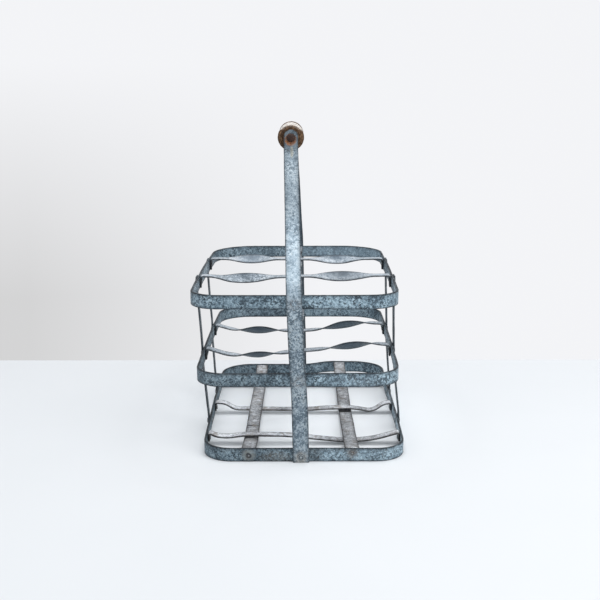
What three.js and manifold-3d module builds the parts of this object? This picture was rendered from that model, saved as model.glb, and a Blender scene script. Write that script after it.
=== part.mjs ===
// A six-bottle carrier of riveted galvanised strip iron, with a strap handle and a turned wooden grip.
// Millimetres, Z up. The origin is on the ground below the middle of the carrier; -Y is its front end.
// The carrier has been used hard: its hoops are racked to one side, and its thin strips sag.
import * as THREE from "three";
import { mergeVertices } from "three/addons/utils/BufferGeometryUtils.js";
import Module from "manifold-3d";

const wasm = await Module();
wasm.setup();

// ---- driving dimensions ----
const GAP = 0.3; // clearance between pieces that touch
const HALF_LENGTH = 153; // from the middle to the outside of a hoop's end
const OUTLINE_SHIFT = -0.4; // centres the racked outline, rivet heads included, over the origin
const HOOP_HEIGHT = 14;
const HOOP_THICK = 2;
const FRONT_CORNER_RADIUS = 30;
const SIDE_BOW = 1.2; // how far a hoop's long sides bulge at their middle
// The skew is how much further right a hoop's rear end stands than its front end, and rear is the
// radius of its two rear corners.
const HOOPS = {
  bottom: { low: 0, width: 204, middle: 5, skew: 0.5, rear: 38 },
  middle: { low: 77.4, width: 203, middle: -1.8, skew: 4.5, rear: 38 },
  top: { low: 155.6, width: 206, middle: -5, skew: 4.5, rear: 50 },
};

const STRIP_WIDTH = 12; // dividers, uprights and the floor's cross strips
const STRIP_THICK = 1.5;
const FLOOR_STRIP_WIDTH = 14.4; // the floor's two long strips
const TAB_LENGTH = 13; // how far a strip's bent end reaches down inside its hoop
const TAB_POINT = 4; // length of the clipped point on a tab
const BEND_RADIUS = 3;
const SAG_RADIUS = 14;
// Places of the dividers and uprights along Y, as [left end, right end], at each hoop.
const DIVIDER_LINES = {
  front: { bottom: [-50, -50], middle: [-53, -40], top: [-49, -46] },
  rear: { bottom: [55, 52], middle: [53.5, 58], top: [58.5, 60] },
};

const RIVET_RADIUS = 1.5;
const RIVET_HEAD_RADIUS = 3;
const RIVET_HEAD_HEIGHT = 1.2;

const LEG_THICK = 3;
const LEG_FOOT_WIDTH = 16;
const LEG_TOP_WIDTH = 14.5;
const LEG_BEND_HEIGHT = 176; // the strap leans inward from here
const LEG_TOP = 322.5;
const LEG_TOP_ROUNDING = 6; // how far down from its top the strap is rounded
const GRIP_HEIGHT = 314.5; // the rod's axis
const GRIP_MIDDLE = -8.2; // the rod's place along X
const GRIP_HALF_LENGTH = 50;
const ROD_RADIUS = 2.2;
const BORE_CLEARANCE = 0.5;

const ACROSS_X = new THREE.Vector3(1, 0, 0);
const ACROSS_Y = new THREE.Vector3(0, 1, 0);

const MATERIALS = {
  galvanised: new THREE.MeshStandardMaterial({ color: 0x84949e, roughness: 0.55, metalness: 0.6 }),
  zincStrip: new THREE.MeshStandardMaterial({ color: 0xa3a4a6, roughness: 0.6, metalness: 0.55 }),
  rustedSteel: new THREE.MeshStandardMaterial({ color: 0x5a4438, roughness: 0.8, metalness: 0.4 }),
  turnedWood: new THREE.MeshStandardMaterial({ color: 0x8a7360, roughness: 0.75, metalness: 0 }),
};

const carrier = new THREE.Group();
const pieces = new THREE.Group();
pieces.position.x = OUTLINE_SHIFT;
carrier.add(pieces);

function addPiece(name, geometry, material) {
  const mesh = new THREE.Mesh(geometry, material.clone());
  mesh.name = name;
  pieces.add(mesh);
}

// ---- booleans ----
function toSolid(geometry) {
  const bare = geometry.clone();
  bare.deleteAttribute("normal");
  bare.deleteAttribute("uv");
  const merged = mergeVertices(bare, 1e-4);
  return new wasm.Manifold(
    new wasm.Mesh({
      numProp: 3,
      vertProperties: new Float32Array(merged.attributes.position.array),
      triVerts: new Uint32Array(merged.index.array),
    }),
  );
}

function toGeometry(solid) {
  const mesh = solid.getMesh();
  return new THREE.BufferGeometry()
    .setAttribute("position", new THREE.BufferAttribute(mesh.vertProperties, 3))
    .setIndex(new THREE.BufferAttribute(mesh.triVerts, 1));
}

// Cuts a round hole for each fastener through the piece; a hole runs along X or Y.
function drilled(geometry, holes) {
  const solid = holes.reduce((left, hole) => left.subtract(toSolid(holeCutter(hole))), toSolid(geometry));
  return toGeometry(solid);
}

function holeCutter({ axis, at, radius = RIVET_RADIUS + GAP, reach = 8, sides = 10 }) {
  const cutter = new THREE.CylinderGeometry(radius, radius, 2 * reach, sides);
  if (axis === "x") cutter.rotateZ(Math.PI / 2);
  return cutter.translate(at.x, at.y, at.z);
}

// ---- bent strip ----
// A path of straight runs with a rounded bend at each inner corner; a corner is [x, y, z, radius].
function bentPath(corners) {
  const points = corners.map(([x, y, z]) => new THREE.Vector3(x, y, z));
  const path = new THREE.CurvePath();
  let start = points[0];
  for (let i = 1; i < points.length - 1; i += 1) {
    const before = points[i].distanceTo(points[i - 1]);
    const after = points[i].distanceTo(points[i + 1]);
    const cut = Math.min(corners[i][3], before * 0.45, after * 0.45);
    const bendStart = points[i].clone().lerp(points[i - 1], cut / before);
    const bendEnd = points[i].clone().lerp(points[i + 1], cut / after);
    path.add(new THREE.LineCurve3(start, bendStart));
    path.add(new THREE.QuadraticBezierCurve3(bendStart, points[i], bendEnd));
    start = bendEnd;
  }
  path.add(new THREE.LineCurve3(start, points.at(-1)));
  return path;
}

// Places along a bent path where a strip needs a section: close together in bends and twists,
// and endSpacing apart along the last run.
function stations(path, spacing, endSpacing) {
  const list = [];
  path.curves.forEach((curve, index) => {
    const apart = index === path.curves.length - 1 ? endSpacing : spacing;
    const steps = curve.isLineCurve3 ? Math.ceil(curve.getLength() / apart) : 4;
    for (let i = index === 0 ? 0 : 1; i <= steps; i += 1) {
      const point = curve.getPoint(i / steps);
      const along = curve.getTangent(i / steps);
      const last = list.at(-1);
      list.push({ point, along, reach: last ? last.reach + point.distanceTo(last.point) : 0 });
    }
  });
  return list;
}

// A box bent along the path: across is its width's direction, roll turns it about the path,
// and width gives its width at a distance along the path.
function bentStrip({ path, across, thick, width, roll = () => 0, spacing = 9, endSpacing = spacing }) {
  const list = stations(path, spacing, endSpacing);
  const total = list.at(-1).reach;
  const strip = new THREE.BoxGeometry(1, 1, 1, list.length - 1, 1, 1);
  const place = strip.attributes.position;
  for (let i = 0; i < place.count; i += 1) {
    const { point, along, reach } = list[Math.round((place.getX(i) + 0.5) * (list.length - 1))];
    const side = across.clone().applyAxisAngle(along, roll(point));
    const normal = new THREE.Vector3().crossVectors(along, side);
    const moved = point
      .clone()
      .addScaledVector(side, place.getY(i) * width(reach, total))
      .addScaledVector(normal, place.getZ(i) * thick);
    place.setXYZ(i, moved.x, moved.y, moved.z);
  }
  return strip;
}

// Full width along the strip, with a clipped point at both ends.
function pointedWidth(full) {
  return (reach, total) => {
    const toEnd = Math.min(reach, total - reach);
    return full * Math.min(1, 0.35 + (0.65 * toEnd) / TAB_POINT);
  };
}

// The roll of a strip that is twisted open in the middle of each bay, as an angle at a coordinate.
function bayTwists(axis, lenses, angle) {
  return (point) => {
    const lens = lenses.find(([centre, half]) => Math.abs(point[axis] - centre) < half);
    if (!lens) return 0;
    const [centre, half, part] = lens;
    return angle * part * Math.cos((0.5 * Math.PI * (point[axis] - centre)) / half) ** 2;
  };
}

// ---- the bent corner ----
// The bottom hoop's rear right corner has been knocked upwards, and the floor's strips have come with it.
const LIFT = 3.8;
const LIFT_STATIONS = [50, 40, 32, 25, 18, 8]; // extra corners along a hoop's rear, so that it can bend

function liftAt(x, y) {
  return LIFT * THREE.MathUtils.smoothstep(x, 5, 45) * THREE.MathUtils.smoothstep(y, 60, 135);
}

function lifted(geometry) {
  const place = geometry.attributes.position;
  for (let i = 0; i < place.count; i += 1) {
    place.setZ(i, place.getZ(i) + liftAt(place.getX(i), place.getY(i)));
  }
  return geometry;
}

// ---- hoops ----
const SIDE_START = -HALF_LENGTH + FRONT_CORNER_RADIUS;
const skewAt = (hoop, y) => (hoop.skew * (y + HALF_LENGTH)) / (2 * HALF_LENGTH);

// The outside of a hoop's left (-1) or right (1) side, as X at a place along Y.
function sideFace(hoop, side, y) {
  const part = (y - SIDE_START) / (HALF_LENGTH - hoop.rear - SIDE_START);
  const bow = 4 * SIDE_BOW * part * (1 - part);
  return hoop.middle + skewAt(hoop, y) + side * (hoop.width / 2 + bow);
}

function hoopOutline(Type, hoop, inset) {
  const outline = new Type();
  const x = hoop.width / 2 - inset;
  const y = HALF_LENGTH - inset;
  const front = FRONT_CORNER_RADIUS - inset;
  const rear = hoop.rear - inset;
  const bowY = (front - rear) / 2;
  const quarter = Math.PI / 2;
  outline.absarc(x - front, -y + front, front, -quarter, 0);
  outline.quadraticCurveTo(x + 2 * SIDE_BOW, bowY, x, y - rear);
  outline.absarc(x - rear, y - rear, rear, 0, quarter);
  LIFT_STATIONS.forEach((place) => outline.lineTo(place, y));
  outline.absarc(-x + rear, y - rear, rear, quarter, 2 * quarter);
  outline.quadraticCurveTo(-x - 2 * SIDE_BOW, bowY, -x, -y + front);
  outline.absarc(-x + front, -y + front, front, 2 * quarter, 3 * quarter);
  return outline;
}

function hoopGeometry(hoop) {
  const ring = hoopOutline(THREE.Shape, hoop, 0);
  ring.holes.push(hoopOutline(THREE.Path, hoop, HOOP_THICK));
  const geometry = new THREE.ExtrudeGeometry(ring, {
    depth: HOOP_HEIGHT,
    bevelEnabled: false,
    curveSegments: 7,
  });
  const place = geometry.attributes.position;
  for (let i = 0; i < place.count; i += 1) {
    place.setX(i, place.getX(i) + hoop.middle + skewAt(hoop, place.getY(i)));
  }
  return geometry.translate(0, 0, hoop.low);
}

// ---- rivets ----
// Every fastener: a domed head outside, the shank through the stack, and a flatter peened head inside.
const rivets = [];

function rivetGeometry({ axis, side, outer, inner, headRadius = RIVET_HEAD_RADIUS }) {
  const tail = -(Math.abs(outer - inner) + GAP);
  const outline = [
    [0, tail - 0.9],
    [headRadius * 0.75, tail - 0.7],
    [headRadius * 0.85, tail],
    [RIVET_RADIUS, tail],
    [RIVET_RADIUS, GAP],
    [headRadius, GAP],
    [headRadius * 0.72, GAP + RIVET_HEAD_HEIGHT * 0.8],
    [0, GAP + RIVET_HEAD_HEIGHT],
  ];
  const rivet = new THREE.LatheGeometry(outline.map(([r, h]) => new THREE.Vector2(r, h)), 10);
  const towards = new THREE.Vector3(axis === "x" ? side : 0, axis === "y" ? side : 0, 0);
  rivet.applyQuaternion(new THREE.Quaternion().setFromUnitVectors(ACROSS_Y, towards));
  return rivet;
}

function addRivet(name, settings) {
  const { axis, outer, at } = settings;
  const place = new THREE.Vector3(axis === "x" ? outer : at.x, axis === "y" ? outer : at.y, at.z);
  const rise = name.startsWith("floor") ? liftAt(place.x, place.y) : 0;
  const shown = rivetGeometry(settings).translate(place.x, place.y, place.z + rise);
  rivets.push({ name, geometry: shown });
  return { axis, at: place };
}

// ---- the plan of the rivets, made first because the strips are drilled to suit them ----
const holesOf = new Map(); // node name -> holes to drill

function drill(hole, ...names) {
  names.forEach((name) => holesOf.set(name, [...(holesOf.get(name) ?? []), hole]));
}

const SIDES = { left: -1, right: 1 };
const ENDS = { front: -1, rear: 1 };
const UPRIGHT_OUTSET = GAP + STRIP_THICK; // from a hoop's side to the upright's outer face
const LEG_OUTSET = GAP + LEG_THICK;
const TAB_INSET = HOOP_THICK + GAP + STRIP_THICK; // from a hoop's outer face to the tab's inner face
const RIVET_DROP = { bottom: 6, middle: 6.5, top: 5.4 }; // below a hoop's upper edge
const sideIndex = (side) => (side < 0 ? 0 : 1);

for (const [level, hoop] of Object.entries(HOOPS)) {
  for (const [sideName, side] of Object.entries(SIDES)) {
    for (const [lineName, line] of Object.entries(DIVIDER_LINES)) {
      const divided = level !== "bottom";
      const y = line[level][sideIndex(side)];
      const hole = addRivet(`${level}_rivet_${lineName}_${sideName}`, {
        axis: "x",
        side,
        outer: sideFace(hoop, side, y) + side * UPRIGHT_OUTSET,
        inner: sideFace(hoop, side, y) - side * (divided ? TAB_INSET : HOOP_THICK),
        at: { y, z: hoop.low + HOOP_HEIGHT - RIVET_DROP[level] },
      });
      drill(hole, `${level}_hoop`, `upright_${lineName}_${sideName}`);
      if (divided) drill(hole, `${level}_divider_${lineName}`);
    }
  }
}

// ---- handle legs ----
// Where each leg's middle line stands along X, as [height, place] up to the shoulder.
const LEGS = {
  front: [[0, 1.8], [62, 0.4], [100, -2.3], [LEG_BEND_HEIGHT, -5.5]],
  rear: [[0, 3], [90, 1], [LEG_BEND_HEIGHT, -1.5]],
};

function legMiddle(leg, z) {
  const above = Math.max(1, leg.findIndex(([height]) => height >= z));
  const [lowZ, lowX] = leg[above - 1];
  const [highZ, highX] = leg[above];
  return THREE.MathUtils.lerp(lowX, highX, (z - lowZ) / (highZ - lowZ));
}

for (const [endName, end] of Object.entries(ENDS)) {
  const leg = LEGS[endName];
  const face = end * (HALF_LENGTH + LEG_OUTSET);
  for (const [level, hoop] of Object.entries(HOOPS)) {
    const divided = level !== "bottom";
    const z = hoop.low + HOOP_HEIGHT / 2 - 1;
    const hole = addRivet(`${level}_leg_rivet_${endName}`, {
      axis: "y",
      side: end,
      outer: face,
      inner: end * (HALF_LENGTH - (divided ? TAB_INSET : HOOP_THICK)),
      at: { x: legMiddle(leg, z), z },
      headRadius: divided ? 2.6 : 3.6,
    });
    drill(hole, `${level}_hoop`, `${endName}_handle_leg`);
    if (divided) drill(hole, `${level}_centre_divider`);
  }
  drill(
    {
      axis: "y",
      at: { x: GRIP_MIDDLE, y: end * (GRIP_HALF_LENGTH + 3), z: GRIP_HEIGHT },
      radius: ROD_RADIUS + GAP,
    },
    `${endName}_handle_leg`,
  );
}

// ---- floor ----
// A shape is a list of [place along the run, height of the strip's middle plane]. A long strip also has
// its place along X and the heights of its rivets, both as [front, rear].
const FLOOR_EDGE = HOOP_HEIGHT - 0.6; // middle plane of a floor strip as it bends over into its tab
const LONG_STRIPS = {
  left: {
    x: [-50.4, -46.6],
    rivets: [6.6, 9],
    shape: [[-136, 10], [-106, 6.8], [-48, 8], [-3, 8.6], [50, 7], [102, 6.4], [134, 10]],
  },
  right: {
    x: [52.8, 52.8],
    rivets: [9, 9],
    shape: [[-138, 10.5], [-102, 7.6], [-52, 5.6], [-3, 3.6], [50, 7], [98, 9], [138, 11]],
  },
};
const SHORT_STRIPS = {
  front: { y: -102, shape: [[-87, 9.5], [-74, 8], [-56, 10.4], [-10, 9.8], [22, 6.2], [53, 3.5], [78, 5.6]] },
  middle: {
    y: -3,
    shape: [[-84, 12.6], [-73, 5.6], [-49, 5.4], [10, 4.6], [34, 6.6], [62, 6.6], [84, 2.6], [97, 11.6]],
  },
  rear: { y: 98, shape: [[-84, 9], [-74, 8.2], [-56, 10], [-34, 9.4], [36, 7], [53, 6.2], [84, 8]] },
};
const SHORT_STRIP_RIVET_HEIGHT = 7;

for (const [sideName, strip] of Object.entries(LONG_STRIPS)) {
  for (const [endName, end] of Object.entries(ENDS)) {
    const hole = addRivet(`floor_rivet_${endName}_${sideName}`, {
      axis: "y",
      side: end,
      outer: end * HALF_LENGTH,
      inner: end * (HALF_LENGTH - TAB_INSET),
      at: { x: strip.x[sideIndex(end)], z: strip.rivets[sideIndex(end)] },
    });
    drill(hole, "bottom_hoop", `floor_strip_${sideName}`);
  }
}
for (const [lineName, strip] of Object.entries(SHORT_STRIPS)) {
  for (const [sideName, side] of Object.entries(SIDES)) {
    const hole = addRivet(`floor_side_rivet_${lineName}_${sideName}`, {
      axis: "x",
      side,
      outer: sideFace(HOOPS.bottom, side, strip.y),
      inner: sideFace(HOOPS.bottom, side, strip.y) - side * TAB_INSET,
      at: { y: strip.y, z: SHORT_STRIP_RIVET_HEIGHT },
    });
    drill(hole, "bottom_hoop", `floor_cross_strip_${lineName}`);
  }
}

function addDrilled(name, geometry, material) {
  const made = drilled(geometry, holesOf.get(name) ?? []);
  const bent = name === "bottom_hoop" || name.startsWith("floor");
  addPiece(name, bent ? lifted(made) : made, material);
}

// A strip with a tab bent down at each end; turned says that it runs along Y, at x = place.
function tabbedStrip({ turned, place, ends, edge, tab, shape, width, roll }) {
  const put = (run, z, radius) => (turned ? [place(run), run, z, radius] : [run, place(run), z, radius]);
  const corners = [
    put(ends[0], edge - tab, 0),
    put(ends[0], edge, BEND_RADIUS),
    ...shape.map(([run, z]) => put(run, z, SAG_RADIUS)),
    put(ends[1], edge, BEND_RADIUS),
    put(ends[1], edge - tab, 0),
  ];
  return bentStrip({
    path: bentPath(corners),
    across: turned ? ACROSS_X : ACROSS_Y,
    thick: STRIP_THICK,
    width: pointedWidth(width),
    roll,
  });
}

const tabPlane = (face, side) => face - side * (TAB_INSET - STRIP_THICK / 2);
const spread = ([first, last], part) => first + (last - first) * part;
const share = ([first, last], value) => (value - first) / (last - first);

function buildFloor() {
  const yEnds = [tabPlane(-HALF_LENGTH, -1), tabPlane(HALF_LENGTH, 1)];
  for (const [sideName, strip] of Object.entries(LONG_STRIPS)) {
    const place = (run) => spread(strip.x, share(yEnds, run));
    const settings = { turned: true, place, ends: yEnds, edge: FLOOR_EDGE, tab: 9.5 };
    const geometry = tabbedStrip({ ...settings, shape: strip.shape, width: FLOOR_STRIP_WIDTH });
    addDrilled(`floor_strip_${sideName}`, geometry, MATERIALS.zincStrip);
  }
  for (const [lineName, strip] of Object.entries(SHORT_STRIPS)) {
    const ends = [-1, 1].map((side) => tabPlane(sideFace(HOOPS.bottom, side, strip.y), side));
    const settings = { turned: false, place: () => strip.y, ends, edge: FLOOR_EDGE, tab: 10.5 };
    const geometry = tabbedStrip({ ...settings, shape: strip.shape, width: STRIP_WIDTH });
    addDrilled(`floor_cross_strip_${lineName}`, geometry, MATERIALS.zincStrip);
  }
}

// ---- dividers at the top and middle hoops ----
// Sags are [share of the run, rise above the hoop's edge].
// Lenses are the twists that open a strip in each bay: [share of the run, half length, part of the full twist].
const DIVIDERS = {
  top: {
    twist: THREE.MathUtils.degToRad(50),
    front: {
      sags: [[0.06, -0.3], [0.14, -3], [0.3, -2.4], [0.5, -0.7], [0.74, -1.2], [0.9, -0.3]],
      lenses: [[0.235, 36, 1], [0.745, 36.5, 1]],
    },
    rear: {
      sags: [[0.1, -0.2], [0.24, -0.2], [0.5, -0.4], [0.74, -1.3], [0.9, -0.3]],
      lenses: [[0.238, 31.5, 0.95], [0.731, 33, 0.95]],
    },
    centre: { sags: [[0.17, -2.4], [0.334, -1.6], [0.5, -1.2], [0.684, -1.2], [0.83, -1.8]], x: [-4, -0.5] },
  },
  middle: {
    twist: THREE.MathUtils.degToRad(-55),
    front: {
      sags: [[0.11, -7.2], [0.17, -8.8], [0.3, -8.6], [0.5, -5.2], [0.62, -3.8], [0.78, -0.6], [0.9, 1.8]],
      lenses: [[0.28, 29, 0.8], [0.784, 35.5, 0.95]],
    },
    rear: {
      sags: [[0.12, -7.4], [0.28, -6.6], [0.5, -8.4], [0.62, -6.6], [0.76, -0.8], [0.88, 1.4]],
      lenses: [[0.2575, 34, 1], [0.7635, 37.5, 1]],
    },
    centre: { sags: [[0.17, -4.4], [0.334, -6.4], [0.5, -7], [0.684, -8.8], [0.83, -5]], x: [-2.2, 1.5] },
  },
};
const CENTRE_LENSES = [[0.17, 29, 0.9], [0.5, 29, 0.9], [0.83, 29, 0.9]];
const CENTRE_CLEARANCE = 2; // between a centre divider and the cross dividers that it passes under

function addDividers(level) {
  const hoop = HOOPS[level];
  const { twist, centre, ...crossing } = DIVIDERS[level];
  const edge = hoop.low + HOOP_HEIGHT - 0.5;
  const lensesOn = (ends, lenses) =>
    lenses.map(([place, half, part]) => [spread(ends, place), half, part]);
  for (const [lineName, { sags, lenses }] of Object.entries(crossing)) {
    const line = DIVIDER_LINES[lineName][level];
    const ends = [-1, 1].map((side) => tabPlane(sideFace(hoop, side, line[sideIndex(side)]), side));
    const geometry = tabbedStrip({
      turned: false,
      place: (run) => spread(line, share(ends, run)),
      ends,
      edge,
      tab: TAB_LENGTH,
      shape: sags.map(([place, rise]) => [spread(ends, place), edge + rise]),
      width: STRIP_WIDTH,
      roll: bayTwists("x", lensesOn(ends, lenses), twist),
    });
    addDrilled(`${level}_divider_${lineName}`, geometry, MATERIALS.galvanised);
  }
  const ends = [tabPlane(-HALF_LENGTH, -1), tabPlane(HALF_LENGTH, 1)];
  const geometry = tabbedStrip({
    turned: true,
    place: (run) => spread(centre.x, share(ends, run)),
    ends,
    edge,
    tab: TAB_LENGTH,
    shape: centre.sags.map(([place, rise]) => [spread(ends, place), edge + rise - CENTRE_CLEARANCE]),
    width: STRIP_WIDTH,
    roll: bayTwists("y", lensesOn(ends, CENTRE_LENSES), -twist),
  });
  addDrilled(`${level}_centre_divider`, geometry, MATERIALS.galvanised);
}

// ---- uprights ----
// Each side strip stands against the outside of all three hoops.
function addUprights() {
  for (const [sideName, side] of Object.entries(SIDES)) {
    for (const [lineName, line] of Object.entries(DIVIDER_LINES)) {
      const stop = (level, z, radius) => {
        const y = line[level][sideIndex(side)];
        return [sideFace(HOOPS[level], side, y) + side * (GAP + STRIP_THICK / 2), y, z, radius];
      };
      const path = bentPath([
        stop("top", HOOPS.top.low + HOOP_HEIGHT - 0.5, 0),
        stop("top", HOOPS.top.low - 3, 4),
        stop("middle", HOOPS.middle.low + HOOP_HEIGHT + 3, 4),
        stop("middle", HOOPS.middle.low - 3, 4),
        stop("bottom", HOOP_HEIGHT + 3, 4),
        stop("bottom", 1.5, 0),
      ]);
      const width = () => STRIP_WIDTH;
      const strip = bentStrip({ path, across: ACROSS_Y, thick: STRIP_THICK, width, spacing: 60 });
      addDrilled(`upright_${lineName}_${sideName}`, strip, MATERIALS.galvanised);
    }
  }
}

// ---- handle ----
function addHandleLegs() {
  for (const [endName, end] of Object.entries(ENDS)) {
    const leg = LEGS[endName];
    const outside = end * (HALF_LENGTH + GAP + LEG_THICK / 2);
    const inside = end * (GRIP_HALF_LENGTH + GAP + LEG_THICK / 2);
    const path = bentPath([
      ...leg.map(([z, x]) => [x, outside, z, z === LEG_BEND_HEIGHT ? 6 : 20]),
      [GRIP_MIDDLE, inside, GRIP_HEIGHT - 10.5, 6],
      [GRIP_MIDDLE, inside, LEG_TOP, 0],
    ]);
    const width = (reach, total) => {
      const plain = THREE.MathUtils.lerp(LEG_FOOT_WIDTH, LEG_TOP_WIDTH, reach / total);
      const below = Math.min(1, (total - reach) / LEG_TOP_ROUNDING);
      return plain * Math.max(0.35, Math.sqrt(1 - (1 - below) ** 2));
    };
    const strap = { path, across: ACROSS_X, thick: LEG_THICK, width, spacing: 40, endSpacing: 1.5 };
    addDrilled(`${endName}_handle_leg`, bentStrip(strap), MATERIALS.galvanised);
  }
}

function addRod() {
  const face = GRIP_HALF_LENGTH + GAP + LEG_THICK + GAP;
  const head = [
    [0, face + 3.2],
    [2.6, face + 3],
    [4.6, face + 1.6],
    [4.6, face],
    [ROD_RADIUS, face],
  ];
  const outline = [...head.map(([r, y]) => [r, -y]), ...head.reverse()];
  const rod = new THREE.LatheGeometry(outline.map(([r, y]) => new THREE.Vector2(r, y)), 14);
  addPiece("grip_rod", rod.translate(GRIP_MIDDLE, 0, GRIP_HEIGHT), MATERIALS.rustedSteel);
}

// The turned grip: a swelled barrel between two beads, with ringed ends.
const GRIP_PROFILE = [
  [6, 50],
  [6.6, 49.2],
  [9.4, 49.4],
  [12, 48.8],
  [13.4, 47],
  [13.8, 44.5],
  [13.2, 42.2],
  [11.8, 41],
  [12.6, 39.6],
  [13.1, 34],
  [13.5, 20],
];

function addGrip() {
  const bore = ROD_RADIUS + BORE_CLEARANCE;
  const half = [[bore, 50 - GAP], ...GRIP_PROFILE.map(([r, y]) => [r, y - GAP])];
  const mirrored = half.map(([r, y]) => [r, -y]).reverse();
  const outline = [...mirrored.reverse(), ...half.reverse()];
  outline.push(outline[0]);
  const grip = new THREE.LatheGeometry(outline.map(([r, y]) => new THREE.Vector2(r, y)), 24);
  addPiece("wooden_grip", grip.translate(GRIP_MIDDLE, 0, GRIP_HEIGHT), MATERIALS.turnedWood);
}

// ---- assembly ----
for (const [level, hoop] of Object.entries(HOOPS)) {
  addDrilled(`${level}_hoop`, hoopGeometry(hoop), MATERIALS.galvanised);
}
buildFloor();
addDividers("middle");
addDividers("top");
addUprights();
addHandleLegs();
addRod();
addGrip();
rivets.forEach(({ name, geometry }) => addPiece(name, geometry, MATERIALS.galvanised));

export default carrier;
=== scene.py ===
"""A six-bottle carrier of riveted galvanised strip iron, in Blender.

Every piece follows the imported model's own route and size, in the same frame, and adds what the plain
solids leave out: rounded and nicked edges, hammered waves, peened rivets, turned ridges and old zinc.
Lengths in the shape code are millimetres and become metres as a mesh is made.
"""

import math
from typing import NamedTuple

import bmesh
import bpy
import numpy as np
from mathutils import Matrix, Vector, noise


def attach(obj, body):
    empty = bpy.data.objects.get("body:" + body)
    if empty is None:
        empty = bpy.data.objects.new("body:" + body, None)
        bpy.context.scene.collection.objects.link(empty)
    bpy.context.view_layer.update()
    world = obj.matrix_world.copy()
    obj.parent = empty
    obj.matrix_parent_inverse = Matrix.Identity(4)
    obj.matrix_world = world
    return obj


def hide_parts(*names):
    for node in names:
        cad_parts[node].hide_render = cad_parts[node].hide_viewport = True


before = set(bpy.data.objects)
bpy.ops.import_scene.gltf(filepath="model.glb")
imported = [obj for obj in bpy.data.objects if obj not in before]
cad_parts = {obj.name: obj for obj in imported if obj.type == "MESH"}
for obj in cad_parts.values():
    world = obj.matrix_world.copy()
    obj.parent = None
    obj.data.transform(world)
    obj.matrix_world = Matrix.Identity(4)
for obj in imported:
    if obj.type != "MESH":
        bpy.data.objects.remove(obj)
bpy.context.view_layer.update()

# ---- driving dimensions in millimetres, as in the CAD ----
MM = 0.001
GAP = 0.3
HALF_LENGTH = 153.0
OUTLINE_SHIFT = -0.4
HOOP_HEIGHT = 14.0
HOOP_THICK = 2.0
CORNER_FRONT = 30.0
SIDE_BOW = 1.2
# The skew is how much further right a hoop's rear end stands than its front end, and rear is the radius
# of its two rear corners.
HOOPS = {
    "bottom": {"low": 0.0, "width": 204.0, "middle": 5.0, "skew": 0.5, "rear": 38.0},
    "middle": {"low": 77.4, "width": 203.0, "middle": -1.8, "skew": 4.5, "rear": 38.0},
    "top": {"low": 155.6, "width": 206.0, "middle": -5.0, "skew": 4.5, "rear": 50.0},
}
STRIP_WIDTH = 12.0
STRIP_THICK = 1.5
FLOOR_STRIP_WIDTH = 14.4
TAB_LENGTH = 13.0
TAB_POINT = 4.0
BEND_RADIUS = 3.0
SAG_RADIUS = 14.0
# Places of the dividers and uprights along Y, as (left end, right end), at each hoop.
DIVIDER_LINES = {
    "front": {"bottom": (-50, -50), "middle": (-53, -40), "top": (-49, -46)},
    "rear": {"bottom": (55, 52), "middle": (53.5, 58), "top": (58.5, 60)},
}
RIVET_RADIUS = 1.5
RIVET_HEAD_RADIUS = 3.0
LEG_RIVET_HEAD_RADIUS = 3.6
FLUSH_RIVET_HEAD_RADIUS = 2.6
RIVET_DROP = {"bottom": 6.0, "middle": 6.5, "top": 5.4}
LEG_THICK = 3.0
LEG_FOOT_WIDTH, LEG_TOP_WIDTH = 16.0, 14.5
LEG_BEND_HEIGHT = 176.0
LEG_TOP = 322.5
LEG_TOP_ROUNDING = 6.0
# The middle of each strap as (height, place along X), up to its bend.
LEGS = {
    "front": [(0, 1.8), (62, 0.4), (100, -2.3), (LEG_BEND_HEIGHT, -5.5)],
    "rear": [(0, 3), (90, 1), (LEG_BEND_HEIGHT, -1.5)],
}
GRIP_HEIGHT = 314.5
GRIP_MIDDLE = -8.2
GRIP_HALF_LENGTH = 50.0
ROD_RADIUS = 2.2
BORE_CLEARANCE = 0.5
FLOOR_EDGE = HOOP_HEIGHT - 0.6
STRIP_DROP = 0.5  # how far below a hoop's upper edge its dividers and uprights end
SHORT_STRIP_RIVET_HEIGHT = 7.0
# A long strip has its place along X and its rivets' heights, as (front, rear), then its shape as (y, height).
LONG_STRIPS = {
    "left": (
        (-50.4, -46.6),
        (6.6, 9.0),
        [(-136, 10), (-106, 6.8), (-48, 8), (-3, 8.6), (50, 7), (102, 6.4), (134, 10)],
    ),
    "right": (
        (52.8, 52.8),
        (9.0, 9.0),
        [(-138, 10.5), (-102, 7.6), (-52, 5.6), (-3, 3.6), (50, 7), (98, 9), (138, 11)],
    ),
}
LIFT = 3.8
LIFT_ACROSS = (5, 45)  # from no lift to all of it, along X and along Y
LIFT_ALONG = (60, 135)
# A short strip has its place along Y, then its shape as (x, height).
SHORT_STRIPS = {
    "front": (-102, [(-87, 9.5), (-74, 8), (-56, 10.4), (-10, 9.8), (22, 6.2), (53, 3.5), (78, 5.6)]),
    "middle": (
        -3,
        [(-84, 12.6), (-73, 5.6), (-49, 5.4), (10, 4.6), (34, 6.6), (62, 6.6), (84, 2.6), (97, 11.6)],
    ),
    "rear": (98, [(-84, 9), (-74, 8.2), (-56, 10), (-34, 9.4), (36, 7), (53, 6.2), (84, 8)]),
}
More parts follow.
